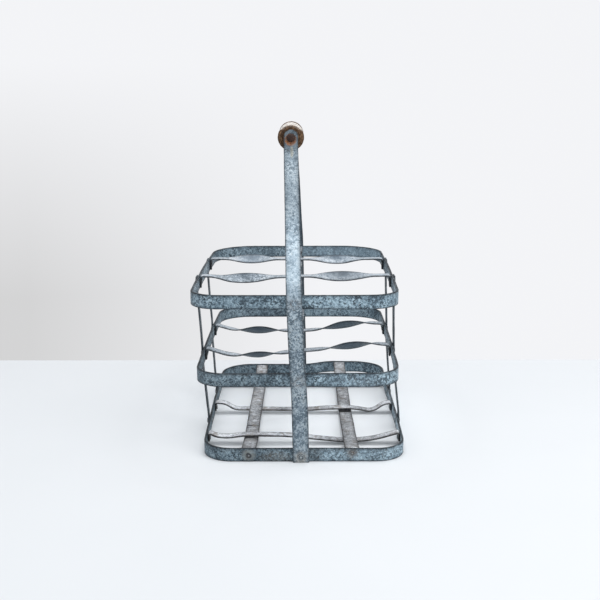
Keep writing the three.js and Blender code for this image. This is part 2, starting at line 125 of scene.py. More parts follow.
# A divider has its sags, as (share of its length, height above its ends), then its lenses, as (share of
# its length, half length, share of the twist). A centre divider has its sags, then its ends along X.
DIVIDERS = {
    "top": {
        "twist": math.radians(50),
        "front": (
            [(0.06, -0.3), (0.14, -3), (0.3, -2.4), (0.5, -0.7), (0.74, -1.2), (0.9, -0.3)],
            [(0.235, 36, 1), (0.745, 36.5, 1)],
        ),
        "rear": (
            [(0.1, -0.2), (0.24, -0.2), (0.5, -0.4), (0.74, -1.3), (0.9, -0.3)],
            [(0.238, 31.5, 0.95), (0.731, 33, 0.95)],
        ),
        "centre": ([(0.17, -2.4), (0.334, -1.6), (0.5, -1.2), (0.684, -1.2), (0.83, -1.8)], (-4, -0.5)),
    },
    "middle": {
        "twist": math.radians(-55),
        "front": (
            [(0.11, -7.2), (0.17, -8.8), (0.3, -8.6), (0.5, -5.2), (0.62, -3.8), (0.78, -0.6), (0.9, 1.8)],
            [(0.28, 29, 0.8), (0.784, 35.5, 0.95)],
        ),
        "rear": (
            [(0.12, -7.4), (0.28, -6.6), (0.5, -8.4), (0.62, -6.6), (0.76, -0.8), (0.88, 1.4)],
            [(0.2575, 34, 1), (0.7635, 37.5, 1)],
        ),
        "centre": ([(0.17, -4.4), (0.334, -6.4), (0.5, -7), (0.684, -8.8), (0.83, -5)], (-2.2, 1.5)),
    },
}
CENTRE_LENSES = [(0.17, 29, 0.9), (0.5, 29, 0.9), (0.83, 29, 0.9)]
CENTRE_CLEARANCE = 2.0

UPRIGHT_OUTSET = GAP + STRIP_THICK
LEG_OUTSET = GAP + LEG_THICK
TAB_INSET = HOOP_THICK + GAP + STRIP_THICK
SIDES = {"left": -1, "right": 1}
ENDS = {"front": -1, "rear": 1}
AXIS_X, AXIS_Y, AXIS_Z = np.eye(3)
FLOOR_TABS = {"long": 9.5, "short": 10.5}

STEEL_SLOT = "galvanised_steel"

# ---- finish of the edges and surfaces, in millimetres ----
EDGE_RADIUS = 0.45
STATION_SPACING = 2.6
BEND_STEPS = 8
END_STATIONS = (1.0, 0.35, 0.1)  # extra sections that round a strip's ends, as shares of the edge radius
END_THINNING = 0.9
FACE_WAVE = 0.2
EDGE_NICK = 0.07
TAB_FADE = 2.5
STAIN_REACH = 5.0
# Places across a strip's wide face, as shares of its half width; the outermost start the rounded edge.
FACE_SHARES = (-1, -0.86, -0.5, -0.16, 0.16, 0.5, 0.86, 1)


# ---- small helpers ----
def unit(vectors):
    return vectors / np.linalg.norm(vectors, axis=-1, keepdims=True)


def turned_about(vectors, axes, angles):
    """Each vector turned about its own axis by its own angle."""
    cos, sin = np.cos(angles)[:, None], np.sin(angles)[:, None]
    along = np.sum(vectors * axes, axis=1, keepdims=True)
    return vectors * cos + np.cross(axes, vectors) * sin + axes * along * (1 - cos)


def travel(places):
    """The distance along a path to each of its places."""
    return np.concatenate([[0], np.cumsum(np.linalg.norm(np.diff(places, axis=0), axis=1))])


def waves(points, size, seed):
    """Smooth noise from about -1 to 1 at each point, with features of about this size in millimetres."""
    shift = Vector((seed * 3.7, seed * 1.3, -seed * 2.1))
    flat = points.reshape(-1, 3) / size
    made = [noise.noise(Vector(p) + shift) for p in flat]
    return 2 * np.array(made).reshape(points.shape[:-1])


def side_face(hoop, side, y):
    """The outside of a hoop's bowed side, along X."""
    start = -HALF_LENGTH + CORNER_FRONT
    share = (y - start) / (HALF_LENGTH - hoop["rear"] - start)
    bow = 4 * SIDE_BOW * share * (1 - share)
    return hoop["middle"] + skew_at(hoop, y) + side * (hoop["width"] / 2 + bow)


def skew_at(hoop, y):
    return hoop["skew"] * (y + HALF_LENGTH) / (2 * HALF_LENGTH)


def side_index(side):
    return 0 if side < 0 else 1


def tab_plane(face, side):
    """The middle of a tab's thickness inside the hoop's face."""
    return face - side * (TAB_INSET - STRIP_THICK / 2)


def spread(pair, share):
    return pair[0] + (pair[1] - pair[0]) * share


def smooth_between(values, low, high):
    t = np.clip((np.asarray(values, float) - low) / (high - low), 0, 1)
    return t * t * (3 - 2 * t)


def lift_at(x, y):
    """How far the bottom hoop's rear right corner, with the floor's strips, has been knocked upwards."""
    return LIFT * smooth_between(x, *LIFT_ACROSS) * smooth_between(y, *LIFT_ALONG)


def is_lifted(node):
    return node == "bottom_hoop" or node.startswith("floor")


def leg_middle(leg, z):
    return float(np.interp(z, [height for height, _ in leg], [x for _, x in leg]))


# ---- rivets: where they are, before the strips, because stains gather round them ----
class Rivet(NamedTuple):
    """A rivet through a stack of pieces; its outer head sits at a place and faces along an axis."""

    name: str
    axis: np.ndarray
    at: tuple
    stack: float
    radius: float


def stack_inside(level):
    return HOOP_THICK if level == "bottom" else TAB_INSET


def upright_rivets(level):
    hoop, rivets = HOOPS[level], []
    z = hoop["low"] + HOOP_HEIGHT - RIVET_DROP[level]
    stack = UPRIGHT_OUTSET + stack_inside(level)
    for side_name, side in SIDES.items():
        for line_name, line in DIVIDER_LINES.items():
            y = line[level][side_index(side)]
            at = (side_face(hoop, side, y) + side * UPRIGHT_OUTSET, y, z)
            name = f"{level}_rivet_{line_name}_{side_name}"
            rivets.append(Rivet(name, AXIS_X * side, at, stack, RIVET_HEAD_RADIUS))
    return rivets


def leg_rivets(level):
    rivets = []
    z = HOOPS[level]["low"] + HOOP_HEIGHT / 2 - 1
    radius = LEG_RIVET_HEAD_RADIUS if level == "bottom" else FLUSH_RIVET_HEAD_RADIUS
    for end_name, end in ENDS.items():
        at = (leg_middle(LEGS[end_name], z), end * (HALF_LENGTH + LEG_OUTSET), z)
        name = f"{level}_leg_rivet_{end_name}"
        rivets.append(Rivet(name, AXIS_Y * end, at, LEG_OUTSET + stack_inside(level), radius))
    return rivets


def long_strip_rivets():
    rivets = []
    for side_name, (across, heights, _) in LONG_STRIPS.items():
        for end_name, end in ENDS.items():
            x, y = across[side_index(end)], end * HALF_LENGTH
            at = (x, y, heights[side_index(end)] + float(lift_at(x, y)))
            name = f"floor_rivet_{end_name}_{side_name}"
            rivets.append(Rivet(name, AXIS_Y * end, at, TAB_INSET, RIVET_HEAD_RADIUS))
    return rivets


def short_strip_rivets():
    rivets = []
    for line_name, (y, _) in SHORT_STRIPS.items():
        for side_name, side in SIDES.items():
            x = side_face(HOOPS["bottom"], side, y)
            at = (x, y, SHORT_STRIP_RIVET_HEIGHT + float(lift_at(x, y)))
            name = f"floor_side_rivet_{line_name}_{side_name}"
            rivets.append(Rivet(name, AXIS_X * side, at, TAB_INSET, RIVET_HEAD_RADIUS))
    return rivets


RIVETS = [rivet for level in HOOPS for rivet in upright_rivets(level) + leg_rivets(level)]
RIVETS += long_strip_rivets() + short_strip_rivets()
RIVET_PLACES = np.array([rivet.at for rivet in RIVETS])


def nearness_to_rivets(points):
    flat = points.reshape(-1, 3)
    gaps = np.linalg.norm(flat[:, None, :] - RIVET_PLACES[None, :, :], axis=2).min(axis=1)
    return np.clip(1.6 - gaps / STAIN_REACH, 0, 1).reshape(points.shape[:-1])


# ---- making pieces ----
def add_object(name, data):
    made = bpy.data.objects.new(name, data)
    bpy.context.scene.collection.objects.link(made)
    return made


def make_piece(node, points, faces, marks, material, slot=STEEL_SLOT, body="frame"):
    """A mesh in metres that rides on a body and stands for the CAD node of the same name."""
    mesh = bpy.data.meshes.new("worn_" + node)
    placed = np.array(points, float)
    if is_lifted(node) and "rivet" not in node:
        placed[:, 2] += lift_at(placed[:, 0], placed[:, 1])
    placed = (placed + AXIS_X * OUTLINE_SHIFT) * MM
    placed[:, 2] = np.maximum(placed[:, 2], 0)
    mesh.from_pydata(placed.tolist(), [], faces)
    for mark, values in marks.items():
        attribute = mesh.attributes.new(mark, "FLOAT", "POINT")
        attribute.data.foreach_set("value", np.asarray(values, np.float32).ravel())
    shell = bmesh.new()
    shell.from_mesh(mesh)
    bmesh.ops.recalc_face_normals(shell, faces=shell.faces)
    shell.to_mesh(mesh)
    shell.free()
    mesh.shade_smooth()
    mesh.materials.append(material)
    piece = add_object("worn_" + node, mesh)
    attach(piece, body)
    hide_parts(node)
    return piece


def section_of_strip():
    """The strip's section, as rows of [share of the half width, face, rounding out, rounding up, rim]; rim is
    how much painted shade darkens the edge there.
    """
    quarter = [(math.cos(a), math.sin(a)) for a in np.linspace(0, math.pi / 2, 3)]

    def rim_at(share):
        return 0.4 if abs(share) > 0.8 else 0

    rows = [(1, 1, c, s, 1) for c, s in quarter]
    rows += [(share, 1, 0, 1, rim_at(share)) for share in reversed(FACE_SHARES[1:-1])]
    rows += [(-1, 1, -c, s, 1) for c, s in reversed(quarter)]
    rows += [(-1, -1, -c, -s, 1) for c, s in quarter]
    rows += [(share, -1, 0, -1, rim_at(share)) for share in FACE_SHARES[1:-1]]
    rows += [(1, -1, c, -s, 1) for c, s in reversed(quarter)]
    return np.array(rows, float)


SECTION = section_of_strip()


def end_inset(to_end):
    """How far the section shrinks near a cut end, so that the end is rounded."""
    depth = EDGE_RADIUS - np.minimum(to_end, EDGE_RADIUS)
    return EDGE_RADIUS - np.sqrt(EDGE_RADIUS**2 - depth**2)


def strip_faces(count, closed):
    across = len(SECTION)
    faces = []
    for i in range(count if closed else count - 1):
        a, b = i * across, (i + 1) % count * across
        faces += [(a + k, a + (k + 1) % across, b + (k + 1) % across, b + k) for k in range(across)]
    if not closed:
        faces += [list(range(across)), list(range((count - 1) * across, count * across))]
    return faces


def strip_marks(points, to_end, angles, outer, tab):
    """How much each point is an edge, the inner face, a lens's dark part, a bent tab or near a rivet; the
    first four carry painted shade, the last dirt.
    """
    share, face, _, _, rim = SECTION.T
    shape = points.shape[:2]
    # painted shade on the lenses, deeper towards one edge of the twisted face
    upper = np.clip(0.85 + 0.8 * share * np.sign(angles)[:, None], 0, 1)
    in_tab = np.clip((tab - to_end) / TAB_FADE, 0, 1) if tab else np.zeros(len(to_end))
    return {
        "rim": np.broadcast_to(rim, shape),
        "inside": np.broadcast_to((face * outer < 0).astype(float), shape),
        "opened": np.clip(1.7 * np.sin(np.abs(angles)) ** 2, 0, 1)[:, None] * upper,
        "tab": np.broadcast_to(in_tab[:, None], shape),
        "stain": nearness_to_rivets(points),
    }


def strip_skin(places, sides, normals, half_width, thick, outer=1, closed=False, seed=0, twist=None, tab=0.0):
    """Sweeps the rounded section along the places, then waves its faces and nicks its edges."""
    reach = travel(places)
    to_end = np.minimum(reach, reach[-1] - reach)
    inset = np.zeros(len(places)) if closed else end_inset(to_end)
    share, face, out, up, _ = SECTION.T
    u = share * (half_width - inset - EDGE_RADIUS)[:, None] + EDGE_RADIUS * out
    v = face * (thick / 2 - inset * END_THINNING - EDGE_RADIUS)[:, None] + EDGE_RADIUS * up
    middle = places[:, None, :] + sides[:, None, :] * u[..., None]
    points = middle + normals[:, None, :] * v[..., None]
    lift = FACE_WAVE * waves(middle, 44, seed) + 0.3 * FACE_WAVE * waves(middle, 11, seed + 5)
    bite = EDGE_NICK * waves(points, 6, seed + 9) * out
    drift = 3 * EDGE_NICK * waves(points, 60, seed + 12) * np.abs(share) ** 3 * np.sign(share)
    points = points + normals[:, None, :] * lift[..., None] + sides[:, None, :] * (bite + drift)[..., None]
    angles = np.zeros(len(places)) if twist is None else twist
    marks = strip_marks(points, to_end, angles, outer, tab)
    return points.reshape(-1, 3), strip_faces(len(places), closed), marks


def bent_path(corners):
    """Places and headings along straight runs with a rounded bend at each inner corner [x, y, z, radius]."""
    stops = [np.array(corner[:3], float) for corner in corners]
    places, headings = [], []

    def add_run(start, end):
        length = np.linalg.norm(end - start)
        steps = max(1, math.ceil(length / STATION_SPACING))
        for i in range(steps):
            places.append(start + (end - start) * i / steps)
            headings.append((end - start) / length)

    start = stops[0]
    for i in range(1, len(stops) - 1):
        before = np.linalg.norm(stops[i] - stops[i - 1])
        after = np.linalg.norm(stops[i + 1] - stops[i])
        cut = min(corners[i][3], before * 0.45, after * 0.45)
        bend_start = stops[i] + (stops[i - 1] - stops[i]) * cut / before
        bend_end = stops[i] + (stops[i + 1] - stops[i]) * cut / after
        add_run(start, bend_start)
        for t in np.arange(BEND_STEPS) / BEND_STEPS:
            places.append((1 - t) ** 2 * bend_start + 2 * t * (1 - t) * stops[i] + t * t * bend_end)
            headings.append((1 - t) * (stops[i] - bend_start) + t * (bend_end - stops[i]))
        start = bend_end
    add_run(start, stops[-1])
    places.append(stops[-1])
    headings.append(headings[-1])
    for depth in END_STATIONS:
        places.insert(1, places[0] + headings[0] * EDGE_RADIUS * depth)
        headings.insert(1, headings[0])
        places.insert(len(places) - 1, places[-1] - headings[-1] * EDGE_RADIUS * depth)
        headings.insert(len(headings) - 1, headings[-1])
    return np.array(places), unit(np.array(headings))


def bent_strip(node, corners, across, width, material, thick=STRIP_THICK, slot=STEEL_SLOT, roll=None,
               **finish):
    """A strip along the corners whose wide face starts out along the across axis and turns by roll."""
    places, headings = bent_path(corners)
    angles = np.zeros(len(places)) if roll is None else np.array([roll(place) for place in places])
    sides = turned_about(np.tile(across, (len(places), 1)), headings, angles)
    normals = unit(np.cross(headings, sides))
    reach = travel(places)
    half_width = width(reach, reach[-1]) / 2
    skin = strip_skin(places, sides, normals, half_width, thick, twist=angles, **finish)
    return make_piece(node, *skin, material, slot)


def pointed_width(full):
    """A width that narrows to a clipped point at both ends."""

    def width(reach, total):
        to_end = np.minimum(reach, total - reach)
        return full * np.minimum(1, 0.35 + 0.65 * to_end / TAB_POINT)

    return width


def bay_twists(axis, lenses, angle):
    """Turns a strip open by an angle in each lens, and leaves it flat between them."""

    def roll(place):
        for centre, half, part in lenses:
            offset = place[axis] - centre
            if abs(offset) < half:
                return angle * part * math.cos(0.5 * math.pi * offset / half) ** 2
        return 0.0

    return roll


# ---- hoops ----
def outline_loop(hoop):
    """Places round the outside of a hoop before it is racked, anticlockwise from the front left."""
    x, y, quarter = hoop["width"] / 2, HALF_LENGTH, math.pi / 2
    front, rear = CORNER_FRONT, hoop["rear"]

    def arc(side, end, radius, start):
        turn = start + np.linspace(0, quarter, 60)
        centre = np.array([side * (x - radius), end * (y - radius)])
        return centre + radius * np.stack([np.cos(turn), np.sin(turn)], 1)

    def bowed(side, y_from, y_to):
        t = np.linspace(0, 1, 160)
        return np.stack([side * (x + 4 * SIDE_BOW * t * (1 - t)), y_from + (y_to - y_from) * t], 1)

    def straight(x_from, x_to, at_y):
        return np.stack([np.linspace(x_from, x_to, 100), np.full(100, at_y)], 1)

    runs = [
        straight(-x + front, x - front, -y),
        arc(1, -1, front, -quarter),
        bowed(1, -y + front, y - rear),
        arc(1, 1, rear, 0),
        straight(x - rear, -x + rear, y),
        arc(-1, 1, rear, quarter),
        bowed(-1, y - rear, -y + front),
        arc(-1, -1, front, 2 * quarter),
    ]
    loop = np.concatenate(runs)
    return loop[np.linalg.norm(loop - np.roll(loop, 1, axis=0), axis=1) > 1e-6]


def hoop_route(hoop):
    """Evenly spaced places round the middle of the hoop's thickness, with outward normals."""
    loop = outline_loop(hoop)
    closed = np.concatenate([loop, loop[:1]])
    reach = travel(closed)
    even = np.linspace(0, reach[-1], round(reach[-1] / STATION_SPACING), endpoint=False)
    outside = np.stack([np.interp(even, reach, closed[:, k]) for k in (0, 1)] + [np.zeros(len(even))], 1)
    heading = np.roll(outside, -1, axis=0) - np.roll(outside, 1, axis=0)
    normals = unit(np.cross(heading, AXIS_Z))
    places = outside - normals * HOOP_THICK / 2
    places[:, 0] += hoop["middle"] + skew_at(hoop, places[:, 1])
    return places, normals


def build_hoops(material):
    for seed, (level, hoop) in enumerate(HOOPS.items()):
        places, normals = hoop_route(hoop)
        places[:, 2] = hoop["low"] + HOOP_HEIGHT / 2
        sides = np.tile(AXIS_Z, (len(places), 1))
        half_width = np.full(len(places), HOOP_HEIGHT / 2)
        skin = strip_skin(places, sides, normals, half_width, HOOP_THICK, closed=True, seed=seed)
        marks = skin[-1]
        # painted shade on the hoop's inner face, strongest where it faces front or rear
        marks["inside"] = marks["inside"] * np.abs(normals[:, 1:2]) ** 0.5
        make_piece(level + "_hoop", *skin, material)


# ---- strips ----
ENDS_ALONG = [tab_plane(-HALF_LENGTH, -1), tab_plane(HALF_LENGTH, 1)]


def ends_across(hoop, line):
    """The middles of the tabs of a strip that meets the hoop's sides at (left, right) along Y."""
    return [tab_plane(side_face(hoop, side, y), side) for side, y in zip(SIDES.values(), line)]


def tabbed_corners(turned, line, ends, edge, tab, shape):
    """Corners of a strip with a tab bent down at each end; a turned strip runs along Y.

    The line is the strip's sideways place at its two ends.
    """

    def put(run, z, radius):
        place = spread(line, (run - ends[0]) / (ends[1] - ends[0]))
        return (place, run, z, radius) if turned else (run, place, z, radius)

    return [
        put(ends[0], edge - tab, 0),
        put(ends[0], edge, BEND_RADIUS),
        *[put(run, z, SAG_RADIUS) for run, z in shape],
        put(ends[1], edge, BEND_RADIUS),
        put(ends[1], edge - tab, 0),
    ]


def build_floor(long_material, cross_material):
    for seed, (side_name, (line, _, shape)) in enumerate(LONG_STRIPS.items()):
        tab = FLOOR_TABS["long"]
        bent_strip(
            "floor_strip_" + side_name,
            tabbed_corners(True, line, ENDS_ALONG, FLOOR_EDGE, tab, shape),
            AXIS_X,
            pointed_width(FLOOR_STRIP_WIDTH),
            long_material,
            slot="zinc_strip",
            outer=-1,
            seed=20 + seed,
            tab=tab - 1.5,
        )
    for seed, (line_name, (y, shape)) in enumerate(SHORT_STRIPS.items()):
        tab = FLOOR_TABS["short"]
        ends = ends_across(HOOPS["bottom"], (y, y))
        bent_strip(
            "floor_cross_strip_" + line_name,
            tabbed_corners(False, (y, y), ends, FLOOR_EDGE, tab, shape),
            AXIS_Y,
            pointed_width(STRIP_WIDTH),
            cross_material,
            slot="zinc_strip",
            seed=24 + seed,
            tab=tab - 1.5,
        )


def divider(node, turned, line, ends, hoop, shape, lenses, twist, material, **finish):
    """A strip across or along a hoop, twisted open at its lenses."""
    edge = hoop["low"] + HOOP_HEIGHT - STRIP_DROP
    sags = [(spread(ends, share), edge + rise) for share, rise in shape]
    placed_lenses = [(spread(ends, share), half, part) for share, half, part in lenses]
    bent_strip(
        node,
        tabbed_corners(turned, line, ends, edge, TAB_LENGTH, sags),
        AXIS_X if turned else AXIS_Y,
        pointed_width(STRIP_WIDTH),
        material,
        roll=bay_twists(1 if turned else 0, placed_lenses, twist),
        tab=TAB_LENGTH - 1,
        **finish,
    )


def build_dividers(level, material):
    hoop, form = HOOPS[level], DIVIDERS[level]
    twist, base = form["twist"], int(hoop["low"])
    for seed, line_name in enumerate(("front", "rear")):
        sags, lenses = form[line_name]
        line = DIVIDER_LINES[line_name][level]
        node = f"{level}_divider_{line_name}"
        finish = {"seed": 30 + seed + base}
        divider(node, False, line, ends_across(hoop, line), hoop, sags, lenses, twist, material, **finish)
    sags, line = form["centre"]
    lowered = [(share, rise - CENTRE_CLEARANCE) for share, rise in sags]
    node = f"{level}_centre_divider"
    finish = {"seed": 34 + base, "outer": -1}
    divider(node, True, line, ENDS_ALONG, hoop, lowered, CENTRE_LENSES, -twist, material, **finish)


# An upright's corners, as the hoop whose side it stands against there, the height and the bend's radius.
UPRIGHT_STOPS = [
    ("top", HOOPS["top"]["low"] + HOOP_HEIGHT - STRIP_DROP, 0),
    ("top", HOOPS["top"]["low"] - 3, 4),
    ("middle", HOOPS["middle"]["low"] + HOOP_HEIGHT + 3, 4),
    ("middle", HOOPS["middle"]["low"] - 3, 4),
    ("bottom", HOOP_HEIGHT + 3, 4),
    ("bottom", 1.5, 0),
]


def upright_corners(line, side):
    corners = []
    for level, z, radius in UPRIGHT_STOPS:
        y = line[level][side_index(side)]
        x = side_face(HOOPS[level], side, y) + side * (GAP + STRIP_THICK / 2)
        corners.append((x, y, z, radius))
    return corners


def plain_width(reach, total):
    return np.full(len(reach), STRIP_WIDTH)


def build_uprights(material):
    seed = 50
    for side_name, side in SIDES.items():
        for line_name, line in DIVIDER_LINES.items():
            node, corners = f"upright_{line_name}_{side_name}", upright_corners(line, side)
            bent_strip(node, corners, AXIS_Y, plain_width, material, outer=side, seed=seed)
            seed += 1


# ---- handle ----
def leg_width(reach, total):
    plain = LEG_FOOT_WIDTH + (LEG_TOP_WIDTH - LEG_FOOT_WIDTH) * reach / total
    below = np.minimum(1, (total - reach) / LEG_TOP_ROUNDING)
    return plain * np.maximum(0.35, np.sqrt(1 - (1 - below) ** 2))


def build_legs(material):
    for seed, (end_name, end) in enumerate(ENDS.items()):
        outside = end * (HALF_LENGTH + GAP + LEG_THICK / 2)
        inside = end * (GRIP_HALF_LENGTH + GAP + LEG_THICK / 2)
        corners = [(x, outside, z, 6 if z == LEG_BEND_HEIGHT else 20) for z, x in LEGS[end_name]]
        corners += [(GRIP_MIDDLE, inside, GRIP_HEIGHT - 10.5, 6), (GRIP_MIDDLE, inside, LEG_TOP, 0)]
        name = end_name + "_handle_leg"
        finish = {"thick": LEG_THICK, "outer": end, "seed": 60 + seed}
        bent_strip(name, corners, AXIS_X, leg_width, material, **finish)


def lathe(outline, sides):
    """Points and faces of [radius, height] turned about Z; a radius of 0 makes a pole."""
    points, rings, faces = [], [], []
    for radius, height in outline:
        if radius == 0:
            rings.append([len(points)])
            points.append((0.0, 0.0, height))
            continue
        rings.append(list(range(len(points), len(points) + sides)))
        angles = np.arange(sides) * 2 * math.pi / sides
        points += [(radius * math.cos(a), radius * math.sin(a), height) for a in angles]
    for low, high in zip(rings, rings[1:]):
        for k in range(sides):
            turns = ((low, k), (low, k + 1), (high, k + 1), (high, k))
            quad = [ring[turn % len(ring)] for ring, turn in turns]
            faces.append(list(dict.fromkeys(quad)))
    return np.array(points), faces, rings


def stand(points, axis, at):
    """Turns points made about Z to stand along the axis, at a place."""
    turn = Vector((0, 0, 1)).rotation_difference(Vector(axis)).to_matrix()
    return points @ np.array(turn).T + np.array(at, float)


# Rivet heads as [share of the head's radius, height above the metal]: one hammered to a ring, one filed
# nearly flush, and the plain one on the inside, whose heights go down.
PEENED_HEAD = [
    (0.93, 0.0), (1.0, 0.2), (0.97, 0.55), (0.86, 0.86), (0.72, 0.92),
    (0.62, 0.6), (0.52, 0.44), (0.42, 0.62), (0.26, 1.0), (0, 1.14),
]
FLUSH_HEAD = [(0.93, 0.0), (1.0, 0.06), (0.9, 0.2), (0.6, 0.3), (0.3, 0.34), (0, 0.35)]
INNER_HEAD = [(0, -0.9), (0.45, -0.88), (0.75, -0.65), (0.85, -0.2), (0.8, 0)]
SIDE_HEAD_FLATTENING = 0.6  # how high the heads on the carrier's sides stand, as a share of the others
GROOVE = 0.52  # the hammered ring's groove, as a share of the head's radius
GRIMY_RIVET = "floor_rivet_front_left"


def rivet_outline(rivet, flush):
    tail = -(rivet.stack + GAP)
    flatter = SIDE_HEAD_FLATTENING if rivet.axis[0] else 1.0
    head = FLUSH_HEAD if flush else PEENED_HEAD
    outline = [(rivet.radius * share, tail + height) for share, height in INNER_HEAD]
    outline += [(RIVET_RADIUS, tail), (RIVET_RADIUS, GAP)]
    return outline + [(rivet.radius * share, GAP + height * flatter) for share, height in head]


def rivet_marks(points, rivet, flush):
    height = points[:, 2]
    rings = np.linalg.norm(points[:, :2], axis=1) / rivet.radius
    outside = (height > 0).astype(float)
    # the groove and the skirt under the head take painted shade
    groove = np.clip(1 - np.abs(rings - GROOVE) / 0.2, 0, 1) * outside
    skirt = np.clip((rings - 0.84) / 0.08, 0, 1) * outside
    return {
        "rim": np.maximum(groove, skirt) * (not flush),
        "inside": (height < -(rivet.stack + GAP) / 2).astype(float),
        "opened": np.clip(1 - rings / 0.4, 0, 1) * outside,
        "tab": np.zeros(len(points)),
        "stain": np.full(len(points), 0.8 if rivet.name == GRIMY_RIVET else 0.0),
    }


def build_rivets(material, flush_material):
    for seed, rivet in enumerate(RIVETS):
        flush = "_leg_rivet_" in rivet.name and not rivet.name.startswith("bottom")
        points, faces, _ = lathe(rivet_outline(rivet, flush), 24)
        bulge = 1 + 0.06 * waves(points, 3.2, 80 + seed)
        points[:, :2] *= bulge[:, None] / max(1.0, bulge.max())
        marks = rivet_marks(points, rivet, flush)
        chosen = flush_material if flush else material
        make_piece(rivet.name, stand(points, rivet.axis, rivet.at), faces, marks, chosen)


# The rod's hammered head as [radius, height above the strap].
ROD_HEAD = [
    (0, 3.15), (1.1, 3.1), (2.2, 2.95), (3.1, 2.5), (3.9, 1.9),
    (4.4, 1.2), (4.55, 0.5), (4.4, 0.1), (ROD_RADIUS, 0.0),
]


def build_rod(material):
    face = GRIP_HALF_LENGTH + GAP + LEG_THICK + GAP
    outline = [(r, -face - h) for r, h in ROD_HEAD] + [(r, face + h) for r, h in reversed(ROD_HEAD)]
    points, faces, _ = lathe(outline, 32)
    dents = waves(points, 2.6, 91)
    points[:, :2] *= (1 - 0.05 * np.abs(dents))[:, None]
    marks = {"rim": np.zeros(len(points)), "stain": np.clip(np.abs(points[:, 2]) - face, 0, 3) / 3}
    at = (GRIP_MIDDLE, 0, GRIP_HEIGHT)
    make_piece("grip_rod", stand(points, AXIS_Y, at), faces, marks, material, "rusted_steel")


# The turned grip's half outline as [radius, place along it]: a ringed end, a bead, a neck and the barrel.
GRIP_HALF_OUTLINE = [
    (3.3, 49.9), (5.9, 49.9), (6.4, 49.3), (7.0, 49.2), (7.5, 49.5), (8.3, 49.5),
    (8.7, 48.9), (9.2, 48.85), (9.7, 49.35), (10.7, 49.25), (11.1, 48.6), (11.6, 48.5),
    (12.1, 48.6), (12.9, 47.9), (13.5, 46.7), (13.8, 45.2), (13.75, 43.8), (13.3, 42.4),
    (12.5, 41.4), (11.9, 41.0), (12.2, 40.3), (12.5, 39.6), (12.75, 37.5), (13.1, 33),
    (13.35, 26), (13.5, 18), (13.55, 9), (13.55, 2),
]

BORE_MOUTH = 49.7
FRONT_BAND = 42.4  # where the dark wood starts at the front, and how much later it does on the upper side
FRONT_BAND_UPPER_SHIFT = 5.0
REAR_BAND = 36.0
RING_PITCH = 2.9  # turned ridges on the end faces, in radians a millimetre
GRAIN_DEPTH = 0.10
DENT_DEPTH = 0.12


def worn_round(points):
    """Presses grain and dents into the turned wood, and never bulges it."""
    radius = np.linalg.norm(points[:, :2], axis=1)
    grain = waves(points * np.array([1, 1, 0.12]), 2.2, 71)
    dents = waves(points, 16, 72)
    outside = np.clip((radius - 4) / 4, 0, 1)
    shrink = outside * (GRAIN_DEPTH * np.clip(grain, 0, 1) + DENT_DEPTH * np.clip(dents, 0, 1))
    points[:, :2] *= (1 - shrink / np.maximum(radius, 1))[:, None]


def grip_marks(points, radius):
    length = points[:, 2]
    upward = np.clip((-points[:, 1] / np.maximum(radius, 1) - 0.35) / 0.3, 0, 1)
    front_end = np.clip(-length - FRONT_BAND - FRONT_BAND_UPPER_SHIFT * upward, 0, 1)
    rear_end = np.clip((length - REAR_BAND) / 2, 0, 1)
    end = np.maximum(front_end, rear_end)
    ridges = 0.5 + 0.5 * np.cos(radius * RING_PITCH)
    return {"rim": end, "rings": ridges * end, "stain": np.clip(1 - (radius - 3) / 7, 0, 1) * end}


def build_grip(material):
    half = [(ROD_RADIUS + BORE_CLEARANCE, BORE_MOUTH)] + [(r, y - GAP) for r, y in GRIP_HALF_OUTLINE]
    points, faces, rings = lathe(half + [(r, -y) for r, y in reversed(half)], 72)
    first, last = rings[0], rings[-1]
    sides = len(first)
    faces += [[last[k], last[(k + 1) % sides], first[(k + 1) % sides], first[k]] for k in range(sides)]
    radius = np.linalg.norm(points[:, :2], axis=1)
    worn_round(points)
    marks = grip_marks(points, radius)
    placed = stand(points, AXIS_Y, (GRIP_MIDDLE, 0, GRIP_HEIGHT))
    make_piece("wooden_grip", placed, faces, marks, material, "turned_wood", body="grip")


# ---- materials ----
# Places of a Mix node's factor and two colours among its inputs, and of its colour among its outputs.
MIX_INPUTS = (0, 6, 7)
MIX_OUTPUT = 2


class NodeTree:
    """A node tree, with one short method for each kind of node it uses."""

    def __init__(self, tree, coords):
        self.tree = tree
        self.coords = self.add("TexCoord").outputs[coords]

    def link(self, source, socket):
        if hasattr(source, "is_output"):
            self.tree.links.new(source, socket)
        else:
            socket.default_value = source

    def add(self, kind, **inputs):
        """A new node with some of its inputs linked or set."""
        node = self.tree.nodes.new("ShaderNode" + kind)
        for name, source in inputs.items():
            self.link(source, node.inputs[name])
        return node

    def place(self, axis):
        return self.add("SeparateXYZ", Vector=self.coords).outputs[axis]

    def math(self, operation, first, second=0.0, clamp=False):
        node = self.add("Math")
        node.operation = operation
        node.use_clamp = clamp
        self.link(first, node.inputs[0])
        self.link(second, node.inputs[1])
        return node.outputs["Value"]

    def times(self, first, second):
        return self.math("MULTIPLY", first, second)

    def mix(self, factor, first, second, blend="MIX"):
        node = self.add("Mix")
        node.data_type = "RGBA"
        node.blend_type = blend
        for place, source in zip(MIX_INPUTS, (factor, first, second)):
            self.link((*source, 1) if isinstance(source, tuple) else source, node.inputs[place])
        return node.outputs[MIX_OUTPUT]


